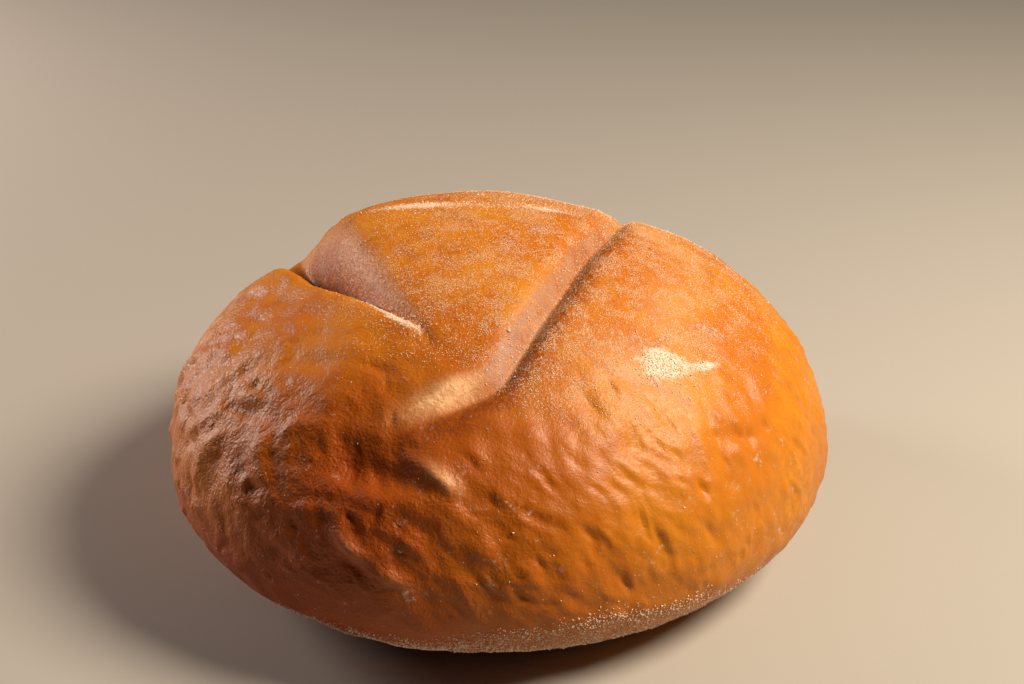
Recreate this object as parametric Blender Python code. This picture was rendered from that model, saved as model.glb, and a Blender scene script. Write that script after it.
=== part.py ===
"""A boule: one round loaf of white bread with a browned crust, as one closed solid.

The loaf is a low dome on a flat foot. Two creases on its crown part three lobes: a tongue that
comes forward from the back, a lobe on the left and a lobe on the right. A hollow, a long fold and
short dents lie below them. Places on the crust are given as (turn, fall) in degrees: turn is the
angle about +Z from +X, so that -90 is the front, and fall is the angle down from the crown, with
90 at the widest ring. Metres, +Z up, foot on z = 0.
"""

import bmesh
import bpy
import numpy as np

MM = 0.001

# Driving dimensions
WIDTH = 199.5 * MM
DEPTH = 198.6 * MM
HEIGHT = 94.8 * MM
WAIST = 29.5 * MM  # height of the widest ring
LEAN = -0.08  # sideways shift of the dome for each metre of height
CENTRE_X = -2.3 * MM  # middle of the leaning dome, which is moved to X = 0
SKEW = 0.027  # share by which the plan is wider along one diagonal
CROWN_FULLNESS = 1.956  # exponent of the dome's section above the waist, 2 for an ellipse
BELLY_FULLNESS = 2.3  # the same below the waist
UNDERCUT = 1.254  # how far the belly's ellipse runs below the foot, as a share of the waist's height
FOOT_ROUNDING = 3 * MM  # height over which the belly rounds into the flat foot
RELIEF_STARTS = 4 * MM
RELIEF_FULL = 20 * MM  # heights between which the relief fades in

# Broad rises and falls: (turn, fall), reach and rise in mm
SWELLS = (
    ((110, 14), 45, 3.0),
    ((150, 30), 24, 2.0),
    ((10, 42), 40, 1.6),
    ((-165, 38), 22, -2.6),
    ((163, 44), 9, -2.2),
    ((151, 54), 11, -4.0),
    ((44, 40), 13, -1.2),
    ((62, 32), 18, -1.5),
    ((-106, 42), 16, -1.5),
    ((-114, 58), 10, -1.6),
    ((-112, 67), 12, 0.7),
)

# Each crease's route from the back of the loaf to its front
LEFT_CREASE = (
    (140, 62), (153, 46.5), (172, 34.8), (-174, 30), (-161, 27),
    (-147, 25.6), (-133, 25.7), (-122, 26.9), (-113, 28.8), (-108, 31), (-105, 34),
)
RIGHT_CREASE = (
    (62, 62), (52, 44), (33, 29), (13, 22.2), (-20, 18.8), (-51, 22), (-67, 26.6),
    (-78, 33), (-84.6, 38.9), (-88.5, 41.5), (-93, 43.2), (-98, 45.6), (-103, 48.5),
)
# Along each crease, at these shares of its length: depth, then the width of the slope up to the
# tongue and of the wall up to the lobe beside it, in mm
LEFT_SHARE = (0, 0.15, 0.35, 0.5, 0.62, 0.73, 0.82, 0.9, 1)
LEFT_DEPTH = (0, 8, 17, 16.5, 12, 7.5, 4, 1.8, 0)
LEFT_SLOPE = (16, 20, 20, 17, 14, 10.5, 5.5, 3, 3)
LEFT_WALL = (8, 8, 8, 7.5, 6.5, 5, 3.5, 2.5, 2.5)
RIGHT_SHARE = (0, 0.15, 0.35, 0.55, 0.72, 0.82, 0.92, 1)
RIGHT_DEPTH = (0, 2.4, 4.6, 5.8, 5.4, 4.6, 3.6, 0.6)
RIGHT_SLOPE = (6, 8, 9, 9, 10, 11, 10, 6)
RIGHT_WALL = (5, 5, 5, 4.5, 4.5, 4, 3.5, 3)
SLOPE_SHAPE = (1.7, 0.85)  # exponents at the lip and at the bottom
WALL_SHAPE = (2.0, 0.72)
CREASE_ROUNDING = 0.8  # mm, radius at the bottom of a crease

# Folds, ridges and dents: from and to as (turn, fall), half width and rise in mm
STROKES = (
    ((-120, 59.5), (-103, 60.5), 4.4, -2.6),
    ((-120, 58), (-117, 47), 4.4, -1.1),
    ((-113, 56), (-112, 46), 4.0, 0.6),
    ((-117.8, 49), (-117.2, 55.5), 2.2, 0.6),
    ((-131.5, 59), (-128.5, 54.5), 1.8, 0.6),
    ((-129, 54.2), (-121, 53), 1.8, 0.7),
    ((-128.5, 57.8), (-123.5, 56), 1.9, -0.4),
    ((-105.5, 43.8), (-92, 38.2), 4.0, 2.0),
    ((-103, 57.2), (-96, 62.6), 2.0, 1.9),
    ((-113, 65), (-98, 66), 3.6, 0.9),
    ((-122, 39.3), (-113, 39.8), 1.4, -1.3),
    ((-151, 53), (-148.5, 50.3), 2.6, -0.7),
    ((-145.3, 53.8), (-143.3, 51), 2.4, -0.7),
    ((-148, 59.2), (-137, 56.3), 1.5, -0.9),
    ((-147, 50), (-141, 38), 4.5, -0.4),
    ((-155, 56), (-147, 40), 4.0, 1.1),
    ((-53.2, 68), (-52.6, 72), 1.2, -1.3),
    ((-64.3, 74.5), (-62.8, 80), 1.2, -1.1),
    ((-76.4, 70.8), (-73.8, 75.2), 1.2, -0.9),
    ((-68.8, 45), (-66.4, 50.5), 1.3, -0.6),
    ((-64, 56.7), (-61, 59), 1.2, -0.7),
    ((-85, 67), (-79, 71), 1.5, -0.9),
    ((-54.6, 78.3), (-53, 83), 1.4, -1.0),
    ((-24.5, 55), (-28.5, 62.5), 1.6, 0.8),
    ((-28, 55.5), (-32.5, 62), 1.4, -0.7),
    ((-29.5, 66), (-36, 66), 1.7, -0.8),
    ((-36, 66), (-43.5, 62.5), 1.7, -0.9),
    ((-123, 71), (-118, 68.5), 1.8, 1.3),
    ((-115.5, 73), (-110, 78), 2.0, 1.7),
    ((-108, 80), (-104, 83.5), 2.2, 1.6),
    ((-105, 71.5), (-102, 75), 1.8, 1.3),
    ((-115, 78), (-109, 83), 1.5, -1.2),
    ((-135, 72), (-128, 68), 2.0, -1.2),
    ((-156, 76), (-150, 67), 2.2, -1.3),
)

# Mesh: a ball of triangles, and within these distances of a crease and of a stroke they are split
BALL_STEPS = 5
SPLITS = ((16 * MM, 5 * MM), (7 * MM, 2 * MM), (2.5 * MM, 0))

CRUST_COLOUR = (0.50, 0.20, 0.045, 1)
CRUST_ROUGHNESS = 0.42


def soft_floor(z):
    """z above FOOT_ROUNDING, 0 below its negative, and a parabola between the two."""
    k = FOOT_ROUNDING
    return np.where(z > k, z, np.where(z < -k, 0, (z + k) ** 2 / (4 * k)))


def dome(turn, fall):
    """The plain dome's points at turn and fall, in radians: a superellipse turned about +Z."""
    s, c = np.sin(fall), np.cos(fall)
    above = c >= 0
    fullness = np.where(above, CROWN_FULLNESS, BELLY_FULLNESS)
    out = np.abs(s) ** (2 / fullness) * (1 + SKEW * np.sin(2 * turn))
    crown = (HEIGHT - WAIST) * np.abs(c) ** (2 / CROWN_FULLNESS)
    belly = -WAIST * UNDERCUT * np.abs(c) ** (2 / BELLY_FULLNESS)
    z = WAIST + np.where(above, crown, belly)
    x = out * WIDTH / 2 * np.cos(turn) + LEAN * np.clip(z, 0, None)
    y = out * DEPTH / 2 * np.sin(turn)
    return np.stack([x, y, z], axis=-1)


def outward(turn, fall):
    """The dome's unit normals, from the cross product of its two tangents."""
    step = 1e-3
    down = dome(turn, fall + step) - dome(turn, fall - step)
    round_z = dome(turn + step, fall) - dome(turn - step, fall)
    normal = np.cross(down, round_z)
    length = np.linalg.norm(normal, axis=-1, keepdims=True)
    pole = np.stack([0 * turn, 0 * turn, np.sign(np.cos(fall))], axis=-1)
    return np.where(length > 1e-12, normal / np.maximum(length, 1e-12), pole)


def on_dome(places):
    """Points on the dome at (turn, fall) in degrees."""
    turn, fall = np.radians(np.array(places, float)).T
    return dome(turn, fall)


def smooth_route(points, pieces=8):
    """A Catmull-Rom curve through the points, each span cut into the given number of pieces."""
    p = np.vstack([2 * points[0] - points[1], points, 2 * points[-1] - points[-2]])
    t = np.linspace(0, 1, pieces, endpoint=False)[:, None]
    spans = [
        0.5 * (2 * b + (c - a) * t + (2 * a - 5 * b + 4 * c - d) * t**2 + (3 * b - 3 * c + d - a) * t**3)
        for a, b, c, d in zip(p, p[1:], p[2:], p[3:])
    ]
    return np.vstack(spans + [points[-1:]])


def along_route(points, normals, route):
    """For each point: its distance from the route, below 0 to the left of it, and how far along it is."""
    nearest = np.full(len(points), np.inf)
    side = np.ones(len(points))
    share = np.zeros(len(points))
    run = np.r_[0, np.cumsum(np.linalg.norm(np.diff(route, axis=0), axis=1))]
    for start, end, begun, ended in zip(route, route[1:], run, run[1:]):
        ahead = (end - start) / (ended - begun)
        reached = np.clip((points - start) @ ahead, 0, ended - begun)
        away = points - start - reached[:, None] * ahead
        distance = np.linalg.norm(away, axis=1)
        nearer = distance < nearest
        nearest = np.where(nearer, distance, nearest)
        leftward = (np.cross(ahead, away) * normals).sum(axis=1) > 0
        side = np.where(nearer, np.where(leftward, -1, 1), side)
        share = np.where(nearer, (begun + reached) / run[-1], share)
    return nearest * side, share


def wall(distance, width, shape):
    """1 at the bottom of a crease, 0 at its lip: 1 - (1 - q**a)**b, where q falls from 1 to 0."""
    a, b = shape
    q = np.clip(1 - distance / width, 0, 1)
    return 1 - (1 - q**a) ** b


def crease(points, normals, route, tongue_side, share, depth, slope_width, wall_width):
    """How deep the crease is at each point, and the distance from its bottom."""
    offset, along = along_route(points, normals, smooth_route(on_dome(route)))
    away = np.hypot(offset, MM * CREASE_ROUNDING) - MM * CREASE_ROUNDING
    slope = wall(away, MM * np.interp(along, share, slope_width), SLOPE_SHAPE)
    steep = wall(away, MM * np.interp(along, share, wall_width), WALL_SHAPE)
    cut = MM * np.interp(along, share, depth) * np.where(offset * tongue_side > 0, slope, steep)
    return cut, np.abs(offset)


def stroke(points, start, end, half_width, rise):
    """An oblong bump: rise * exp(-(across / half_width)**2 - (along / half_length)**2)."""
    a, b = on_dome((start, end))
    half_length = np.linalg.norm(b - a) / 2
    away = points - (a + b) / 2
    along = away @ (b - a) / (2 * half_length)
    across = np.sqrt(np.clip((away**2).sum(axis=1) - along**2, 0, None))
    r = np.hypot(across / (MM * half_width), along / half_length)
    return MM * rise * np.exp(-(r**2)), across + np.clip(np.abs(along) - half_length, 0, None)


def relief(points, normals):
    """How far the crust lies outside the dome, and where it needs fine triangles."""
    rise = np.zeros(len(points))
    for place, reach, height in SWELLS:
        r = np.linalg.norm(points - on_dome((place,)), axis=1)
        rise += MM * height * np.exp(-((r / (MM * reach)) ** 2))
    left, from_left = crease(
        points, normals, LEFT_CREASE, -1, LEFT_SHARE, LEFT_DEPTH, LEFT_SLOPE, LEFT_WALL
    )
    right, from_right = crease(
        points, normals, RIGHT_CREASE, 1, RIGHT_SHARE, RIGHT_DEPTH, RIGHT_SLOPE, RIGHT_WALL
    )
    rise -= np.maximum(left, right)
    from_stroke = np.full(len(points), np.inf)
    for start, end, half_width, height in STROKES:
        bump, r = stroke(points, start, end, half_width, height)
        rise += bump
        from_stroke = np.minimum(from_stroke, r)
    t = np.clip((points[:, 2] - RELIEF_STARTS) / (RELIEF_FULL - RELIEF_STARTS), 0, 1)
    return rise * t * t * (3 - 2 * t), np.minimum(from_left, from_right), from_stroke


def crust(turn, fall):
    """Points of the loaf's crust: the dome moved along its normals by the relief, over a flat foot."""
    points, normals = dome(turn, fall), outward(turn, fall)
    rise, from_crease, from_stroke = relief(points, normals)
    points = points + rise[:, None] * normals
    points[:, 0] -= CENTRE_X
    points[:, 2] = soft_floor(points[:, 2])
    return points, from_crease, from_stroke


def directions(mesh):
    """turn and fall of a ball's vertices, in radians."""
    x, y, z = np.array([vertex.co.normalized() for vertex in mesh.verts], float).T
    return np.arctan2(y, x), np.arccos(np.clip(z, -1, 1))


def ball():
    """A ball of triangles, with the triangles near creases and strokes split in four once or twice."""
    mesh = bmesh.new()
    bmesh.ops.create_icosphere(mesh, subdivisions=BALL_STEPS, radius=1)
    for crease_reach, stroke_reach in SPLITS:
        _, from_crease, from_stroke = crust(*directions(mesh))
        near = (from_crease < crease_reach) | (from_stroke < stroke_reach)
        split = [edge for edge in mesh.edges if near[[vertex.index for vertex in edge.verts]].all()]
        bmesh.ops.subdivide_edges(mesh, edges=split, cuts=1, use_grid_fill=True)
        bmesh.ops.triangulate(mesh, faces=mesh.faces[:])
        mesh.verts.index_update()
    return mesh


def crust_material():
    material = bpy.data.materials.new("browned_crust")
    material.use_nodes = True
    shader = material.node_tree.nodes["Principled BSDF"]
    shader.inputs["Base Color"].default_value = CRUST_COLOUR
    shader.inputs["Roughness"].default_value = CRUST_ROUGHNESS
    shader.inputs["Metallic"].default_value = 0
    return material


def loaf():
    """The whole loaf: the ball's vertices moved onto the crust."""
    mesh = ball()
    points = crust(*directions(mesh))[0]
    for vertex, point in zip(mesh.verts, points):
        vertex.co = point
    bmesh.ops.recalc_face_normals(mesh, faces=mesh.faces[:])
    data = bpy.data.meshes.new("loaf")
    mesh.to_mesh(data)
    mesh.free()
    data.materials.append(crust_material())
    made = bpy.data.objects.new("loaf", data)
    bpy.context.scene.collection.objects.link(made)
    return made


def main():
    for old in list(bpy.data.objects):
        bpy.data.objects.remove(old)
    loaf()


if __name__ == "__main__":
    main()
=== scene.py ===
"""A boule dressed for rendering: a wrinkled, browned crust over the plain solid, with semolina and
flour on it. Metres, +Z up. Places on the crust are (turn, fall) in degrees: turn is the angle about
+Z from +X, so that -90 is the front, and fall is the angle down from the crown, 90 at the widest ring.
"""

import math

import bpy
import numpy as np
from bpy.props import FloatProperty, FloatVectorProperty, IntProperty, PointerProperty
from mathutils import Matrix, Vector


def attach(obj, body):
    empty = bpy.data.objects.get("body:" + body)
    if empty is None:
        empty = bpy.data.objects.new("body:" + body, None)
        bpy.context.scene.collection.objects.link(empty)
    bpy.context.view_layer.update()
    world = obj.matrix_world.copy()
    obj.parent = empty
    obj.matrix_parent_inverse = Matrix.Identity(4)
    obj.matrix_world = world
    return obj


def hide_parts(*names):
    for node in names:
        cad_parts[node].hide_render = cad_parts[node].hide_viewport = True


bl_info = {
    "name": "Boule",
    "version": (1, 0, 0),
    "blender": (4, 5, 0),
    "location": "3D View > Sidebar > Boule",
    "description": "Makes a round loaf with a wrinkled crust, its dusting and a studio stage",
    "category": "Add Mesh",
}

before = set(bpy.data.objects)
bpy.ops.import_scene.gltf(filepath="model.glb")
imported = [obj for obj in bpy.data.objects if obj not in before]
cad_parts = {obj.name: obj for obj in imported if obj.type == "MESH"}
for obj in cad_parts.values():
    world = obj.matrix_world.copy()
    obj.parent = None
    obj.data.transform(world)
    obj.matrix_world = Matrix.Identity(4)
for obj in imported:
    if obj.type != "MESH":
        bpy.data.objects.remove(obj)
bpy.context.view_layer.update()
MM = 0.001

# The dome
LEAN = -0.08  # sideways shift for each metre of height
CENTRE_X = -2.3 * MM
SKEW = 0.027
CROWN_FULLNESS = 1.956
BELLY_FULLNESS = 2.3
UNDERCUT = 1.254
FOOT_ROUNDING = 3 * MM
RELIEF_STARTS = 4 * MM
RELIEF_FULL = 20 * MM

# Broad rises and falls: (turn, fall), reach and rise in mm
SWELLS = (
    ((110, 14), 45, 3.0),
    ((150, 30), 24, 2.0),
    ((10, 42), 40, 1.6),
    ((-165, 38), 22, -2.6),
    ((163, 44), 9, -2.2),
    ((151, 54), 11, -4.0),
    ((44, 40), 13, -1.2),
    ((62, 32), 18, -1.5),
    ((-106, 42), 16, -1.5),
    ((-114, 58), 10, -1.6),
    ((-112, 67), 12, 0.7),
)

# Each crease's route from the back of the loaf to its front, and along it, at these shares of its
# length: depth, and the widths of the slope up to the tongue and of the wall beside it, in mm
LEFT_CREASE = (
    (140, 62), (153, 46.5), (172, 34.8), (-174, 30), (-161, 27),
    (-147, 25.6), (-133, 25.7), (-122, 26.9), (-113, 28.8), (-108, 31), (-105, 34),
)
RIGHT_CREASE = (
    (62, 62), (52, 44), (33, 29), (13, 22.2), (-20, 18.8), (-51, 22), (-67, 26.6),
    (-78, 33), (-84.6, 38.9), (-88.5, 41.5), (-93, 43.2), (-98, 45.6), (-103, 48.5),
)
LEFT_SHARE = (0, 0.15, 0.35, 0.5, 0.62, 0.73, 0.82, 0.9, 1)
LEFT_DEPTH = (0, 8, 17, 16.5, 12, 7.5, 4, 1.8, 0)
LEFT_SLOPE = (16, 20, 20, 17, 14, 10.5, 5.5, 3, 3)
LEFT_WALL = (8, 8, 8, 7.5, 6.5, 5, 3.5, 2.5, 2.5)
RIGHT_SHARE = (0, 0.15, 0.35, 0.55, 0.72, 0.82, 0.92, 1)
RIGHT_DEPTH = (0, 2.4, 4.6, 5.8, 5.4, 4.6, 3.6, 0.6)
RIGHT_SLOPE = (6, 8, 9, 9, 10, 11, 10, 6)
RIGHT_WALL = (5, 5, 5, 4.5, 4.5, 4, 3.5, 3)
SLOPE_SHAPE = (1.7, 0.85)
WALL_SHAPE = (2.0, 0.72)
CREASE_ROUNDING = 0.8

# Folds, ridges and dents: from and to as (turn, fall), half width and rise in mm
STROKES = (
    ((-120, 59.5), (-103, 60.5), 4.4, -2.6),
    ((-120, 58), (-117, 47), 4.4, -1.1),
    ((-113, 56), (-112, 46), 4.0, 0.6),
    ((-117.8, 49), (-117.2, 55.5), 2.2, 0.6),
    ((-131.5, 59), (-128.5, 54.5), 1.8, 0.6),
    ((-129, 54.2), (-121, 53), 1.8, 0.7),
    ((-128.5, 57.8), (-123.5, 56), 1.9, -0.4),
    ((-105.5, 43.8), (-92, 38.2), 4.0, 2.0),
    ((-103, 57.2), (-96, 62.6), 2.0, 1.9),
    ((-113, 65), (-98, 66), 3.6, 0.9),
    ((-122, 39.3), (-113, 39.8), 1.4, -1.3),
    ((-151, 53), (-148.5, 50.3), 2.6, -0.7),
    ((-145.3, 53.8), (-143.3, 51), 2.4, -0.7),
    ((-148, 59.2), (-137, 56.3), 1.5, -0.9),
    ((-147, 50), (-141, 38), 4.5, -0.4),
    ((-155, 56), (-147, 40), 4.0, 1.1),
    ((-53.2, 68), (-52.6, 72), 1.2, -1.3),
    ((-64.3, 74.5), (-62.8, 80), 1.2, -1.1),
    ((-76.4, 70.8), (-73.8, 75.2), 1.2, -0.9),
    ((-68.8, 45), (-66.4, 50.5), 1.3, -0.6),
    ((-64, 56.7), (-61, 59), 1.2, -0.7),
    ((-85, 67), (-79, 71), 1.5, -0.9),
    ((-54.6, 78.3), (-53, 83), 1.4, -1.0),
    ((-24.5, 55), (-28.5, 62.5), 1.6, 0.8),
    ((-28, 55.5), (-32.5, 62), 1.4, -0.7),
    ((-29.5, 66), (-36, 66), 1.7, -0.8),
    ((-36, 66), (-43.5, 62.5), 1.7, -0.9),
    ((-123, 71), (-118, 68.5), 1.8, 1.3),
    ((-115.5, 73), (-110, 78), 2.0, 1.7),
    ((-108, 80), (-104, 83.5), 2.2, 1.6),
    ((-105, 71.5), (-102, 75), 1.8, 1.3),
    ((-115, 78), (-109, 83), 1.5, -1.2),
    ((-135, 72), (-128, 68), 2.0, -1.2),
    ((-156, 76), (-150, 67), 2.2, -1.3),
)

# The crust's grid
RINGS, TURNS = 178, 558
EVEN_RINGS, FOOT_RINGS, FOOT_POWER = 0.80, 0.20, 5  # how the rings' fall grows along the section
FRONT_CLOSER = 0.22  # share by which the grid's columns stand closer at the front
SEED = 7

# Wrinkles lie at this angle from +turn towards +fall, at these turns, give or take the spread
WRINKLE_TURN = (-180, -140, -128, -118, -90, -70, -50, -20, 20, 70, 120, 180)
WRINKLE_ANGLE = (-62, -55, -15, 28, 36, 49, 72, 84, 60, 20, -30, -62)
WRINKLE_SPREAD = (45, 45, 40, 24, 15, 18, 24, 24, 24, 24, 40, 45)

# The crown is smooth down to this fall, at these turns
SMOOTH_TURN = (-180, -140, -110, -90, -60, -30, 10, 60, 120, 180)
SMOOTH_FALL = (36, 33, 36, 42, 43, 46, 52, 50, 40, 38)

# Smooth noise, as the length of its waves and their number
EDGE_WAVES, RIM_WAVES = (0.050, 12), (0.020, 20)
LUMP_WAVES, SMALL_LUMP_WAVES = (0.028, 40), (0.0095, 60)
PATCHY_WAVES = (0.030, 30)
WAVE_SPREAD, WAVE_PEAK = (0.7, 1.5), 1.6
EDGE_RAGGED, RIM_RAGGED = 7, 2.5  # degrees by which the smooth crown and the rim come and go

# Relief grows over these degrees past the smooth crown's edge. Of the wrinkles, only a share is left
# under the belly, below this fall, and in creases of at least this depth.
LUMPS_GROW, WRINKLES_GROW = (-14, 6), (-6, 22)
BELLY_ENDS, UNDER_BELLY = (88, 102), 0.25
CREASED_FROM, IN_CREASE = 2.5 * MM, 0.2

# The grain is coarser near the leather turn: from and to, by the cosine of the turn from it. Grooves
# and dents come in patches: from and to, by noise. The left crease has more pits, from these depths.
LEATHER_NEAR, PATCHY = (-0.1, 0.7), (-0.5, 0.6)
PITTED_DEPTH, PITTED_MORE = (2 * MM, 6 * MM), 6

# How strong the relief is, as (least, most)
LEATHER = (0.3, 1)
LUMPS_BY_WRINKLES, LUMPS_BY_LEATHER, PADS_BY_LEATHER = (0.35, 1), (0.8, 1.4), (0.85, 1.35)
MARKS_BY_WRINKLES, GROOVES_BY_PATCH, DENTS_BY_PATCH = (0.05, 1), (0.3, 1), (0.3, 1.3)
SMALL_LUMPS = 0.5  # height of the small lumps, as a share of the lumps'

# Marks on the crust, as (least, most): half lengths and half widths in mm, and heights in mm
PAD_LENGTH, PAD_WIDTH = (2.2, 6.5), (1.0, 2.6)
DENT_SIZES = (1.6, 4.2), (0.6, 1.1), (0.15, 0.75)
PIT_SIZES = (0.5, 1.6), (0.4, 0.8), (0.15, 0.5)
DENT_LIP, PIT_LIP = 0.45, 0.1
LIP_SHIFT = 1.7  # how far beside a dent its lip lies, in half widths
MARK_REACH, MARK_THICKNESS = 2.2, 3  # its reach in half lengths, and through the crust in half widths
WRINKLED_PART = 0.6  # the pads' usual height is taken where wrinkles are at least this likely
GROOVE_SHARE = 0.32  # width of a groove, as a share of the pads' usual height
MARKED_FALL = math.radians(125)  # the marks stop under the belly

# Painted shade: the crust is darker and redder low down on the side of the shaded turn. Painted light:
# it is brighter and more golden low down on the lit side. Its grain is coarsest on the side of the
# leather turn, where the painted shade is weaker.
PAINTED_SHADE_TURN, PAINTED_SHADE_FALL = math.radians(-125), (14, 62)
PAINTED_LIGHT_TURN, PAINTED_LIGHT_FALL = math.radians(-32), (50, 80)
LEATHER_TURN = math.radians(-165)
FLANK_NEAR, FLANK_ENDS, PAINTED_SHADE_ON_FLANK = (0.6, 0.98), (75, 92), 0.4

# Flour in the left crease, on its slope and its wall, and painted shade in it, a browner tone, full
# from these depths
LEFT_FLOUR, LEFT_FLOUR_DEPTH, LEFT_SHADE_DEPTH = (0.07, 0.05), 12 * MM, 10 * MM

# A band of flour on the right crease's bottom, beside its wall: its width in mm at these shares of
# the crease's length, how soft its two edges are, where it begins and ends, and its strength
BAND_SHARE, BAND_WIDTH = (0.3, 0.75), (2, 5.5)
BAND_WALL_EDGE, BAND_SLOPE_EDGE = 0.8 * MM, 2.5 * MM
BAND_BEGINS, BAND_ENDS = (0.25, 0.45), (0.84, 0.93)
BAND_FLOUR, DUSTED_IN_BAND = 0.42, 0.25

# Painted shade: a browner stripe on the wall side of the right crease: distance and half width in mm
CREASE_SHADE_AWAY, CREASE_SHADE_WIDTH, CREASE_SHADE_BEGINS = 3.6, 4.2, (0.3, 0.5)

# Flour lies down to this fall, at these turns, and most on the side of the dusted turn
FLOUR_TURN = (-180, -115, -98, -80, -50, 0, 60, 180)
FLOUR_FALL = (50, 42, 42, 56, 66, 66, 60, 50)
DUSTED_TURN = math.radians(-20)
DUSTED_FROM = (-60 * MM, 10 * MM)  # distance from the middle, towards the dusted turn
FLOUR_THINS = (-24, 0)  # degrees of fall past the flour's lower edge

# Semolina sticks below this fall, at these turns, most round the middle
RIM_MIDDLE = math.radians(-92)
RIM_TURN = (-180, -125, -100, -75, -50, -20, 10, 180)
RIM_FALL = (106, 104, 96, 88, 97, 105, 106, 106)
RIM_GROWS, RIM_ENDS, RIM_BEHIND = (-1, 9), (112, 124), (0.05, 1)

# Film on the crust, partly flour and partly painted highlight, and thick patches of flour, with pale
# streaks over the back of the crown: from and to, half width in mm and strength
FILM_AND_HIGHLIGHTS = (
    # Painted highlights, most of them: on the lit toe of the tongue, on sheen over the right side, on the
    # ridge below the toe and on two bumps low on the left. The second and the sixth are films of flour.
    ((-106, 46.5), (-91, 40), 3.3, 1.3),
    ((-80, 32), (-60, 24), 3.5, 0.35),
    ((-60, 38), (-45, 52), 9.0, 0.25),
    ((-38, 38), (-10, 35), 7.0, 0.25),
    ((-101.3, 57.0), (-95.8, 61.6), 1.9, 0.55),
    ((22, 26), (16, 33), 6.0, 0.5),
    ((-116, 73), (-109, 79), 2.0, 0.12),
    ((-108, 80), (-103, 84), 2.0, 0.12),
)
PATCHED = (
    ((-50.2, 43.2), (-39.5, 46.8), 4.4, 1.0),
    ((-53, 41.5), (-46, 42.5), 1.8, 0.55),
    ((-39, 48), (-31, 50), 1.4, 0.6),
    ((148, 22.9), (100, 9), 2.6, 0.62),
    ((60, 10), (34.8, 15.8), 2.2, 0.55),
    ((-134, 26.8), (-112, 29.8), 1.5, 0.95),
)

# How thickly grains lie: on bare, dusted, floury, patched and rim places, and the rim's power
COARSE_DENSITY = (0.0015, 0.025, 0.4, 1.6, 0.75, 2)
FINE_DENSITY = (0.004, 0.50, 0.4, 1.8, 0.05, 1)
GRAIN_SPREAD = 0.28  # spread of the logarithm of a grain's width
GRAIN_AXES = ((0.8, 1.5), (0.7, 1.1), (0.6, 1.0))  # (least, most) of its three widths
GRAIN_STANDS = 0.12  # height of its middle over the crust, in widths
GRAIN_LOWEST = 1.5 * MM
OCTAHEDRON = (
    (0, 1, 2), (1, 3, 2), (3, 4, 2), (4, 0, 2), (1, 0, 5), (3, 1, 5), (4, 3, 5), (0, 4, 5),
)
GRAIN_ROUGHNESS = 0.45

# Noise in the finishes: cycles a metre, detail and roughness
BROAD, MIDDLE, SMALL = (26, 4, 0.55), (130, 4, 0.6), (620, 3, 0.6)
TINY, SKIN = (2400, 2, 0.5), (1300, 1, 0.5)
CLUMPS, CRACKLED, MOTTLED = (150, 4, 0.65), (330, 3, 0.55), (900, 2, 0.5)

# How noise and masks are read: from and to, and the values given there, where not 0 and 1
TONE_STEP, MOTTLED_STEP = (0.36, 0.60), (0.35, 0.65)
SPOT_STEP, DARK_STEP = (0.52, 0.72, 0, 0.30), (0.50, 0.75, 0, 0.35)
PAINTED_LIGHT_STEP, FILM_HIGHLIGHT_STEP = (0.40, 0.58, 0.2, 0.8), (0.40, 0.56, 0.55, 1)
CREASE_SHADE_STEP, FILM_STEP = (0.35, 0.60, 0.35, 1), (0.42, 0.56, 0.35, 1)
CLUMP_STEP, PATCH_STEP = (0.42, 0.60, 0.10, 1.15), (1.03, 1.50)
DRAWN_STEP, SPECK_STEP = (0, 0.04), (0.25, 0.55, 1, 0)
ROUGH_STEP, ROUGH_SPREAD = (0.3, 0.7), (-0.04, 0.08)

# Shares in which colours, roughness and relief are put together
BROAD_SHARE, SMALL_SHARE, PATCH_RAGGED = 0.7, 0.5, 1.8
PAINTED_SHADE_SHARE, DUSTED_SHARE, SPECKS_IN_FILM = 0.97, 0.9, 0.5
FILM_COVER, PATCH_COVER = 0.6, 0.9
FLOUR_ROUGHER, LEATHER_ROUGHER = 0.3, 0.08
CRACKLE_ON_CROWN, ROUGHENED_IF_DUSTED = 0.15, 0.5
NOISE_MIDDLE = 0.5  # value that noise lies round
SPECKS_A_METRE, CRUST_IOR = 2900, 1.37

# Heights of the relief that the finish adds, in metres
CRACKLE_HEIGHT, SMALL_HEIGHT, SKIN_HEIGHT = 0.00060, 0.00030, 0.00020
TINY_HEIGHT, SPECK_HEIGHT = 0.00005, 0.00010

# Camera: lens in mm on a 36 mm sensor, its height above the horizon, and where the loaf's middle lies
LENS, SENSOR = 60, 36
IMAGE_WIDTH, IMAGE_HEIGHT = 1024, 684
CAMERA_ELEVATION = 28
CAMERA_DISTANCE = 0.5217
AIM_HEIGHT = 0.0456
AIM_PIXEL = (502.6, 379.8)

# The lights' places and colours, the point that both are aimed at, the world's light and the floor
KEY_PLACE, KEY_COLOUR = (0.52, -0.11, 0.64), (1.0, 0.82, 0.61)
FILL_PLACE, FILL_COLOUR = (-0.78, 0.45, 0.25), (1.0, 0.79, 0.66)
LIGHT_AIM, LIGHT_SIZE = (0, 0, 0.05), 0.34
WORLD_COLOUR, WORLD_STRENGTH = (0.9, 0.92, 1.0), 0.02
FLOOR_HALF, FLOOR_ROUGHNESS = 3.0, 0.6


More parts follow.
